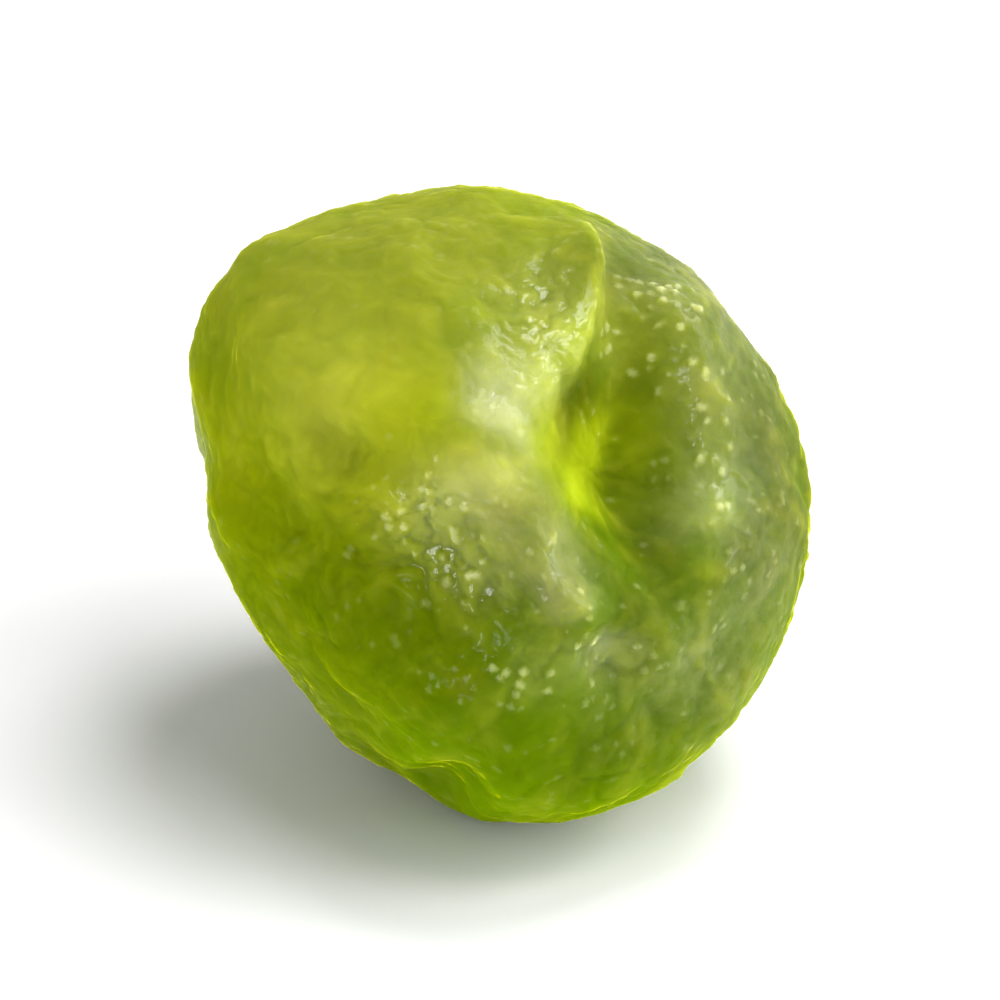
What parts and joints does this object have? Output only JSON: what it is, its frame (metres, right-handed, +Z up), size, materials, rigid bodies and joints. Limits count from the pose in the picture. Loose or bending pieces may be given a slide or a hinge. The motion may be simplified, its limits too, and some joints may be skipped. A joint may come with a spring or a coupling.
{
  "type": "candied cherry",
  "caption": "Pitted, candied green cherry: a wrinkled, translucent fruit with a folded hollow where the pit was, resting on a small flat spot.",
  "frame": {"origin": "On the surface it rests on, under the middle of its box, in the plane of the flat spot.", "axes": "+Z up. The pit hole faces -Y and up, about 38 degrees above level, and +X is to the right as the hole is faced."},
  "size_m": [0.02, 0.0206, 0.0196],
  "materials": {
    "candied_skin": "moist, leathery, translucent candied skin, yellow-green with deeper green folds and a pale frosting of sugar on its ridges"
  },
  "bodies": {
    "root": {"cherry": "candied_skin"}
  },
  "joints": []
}
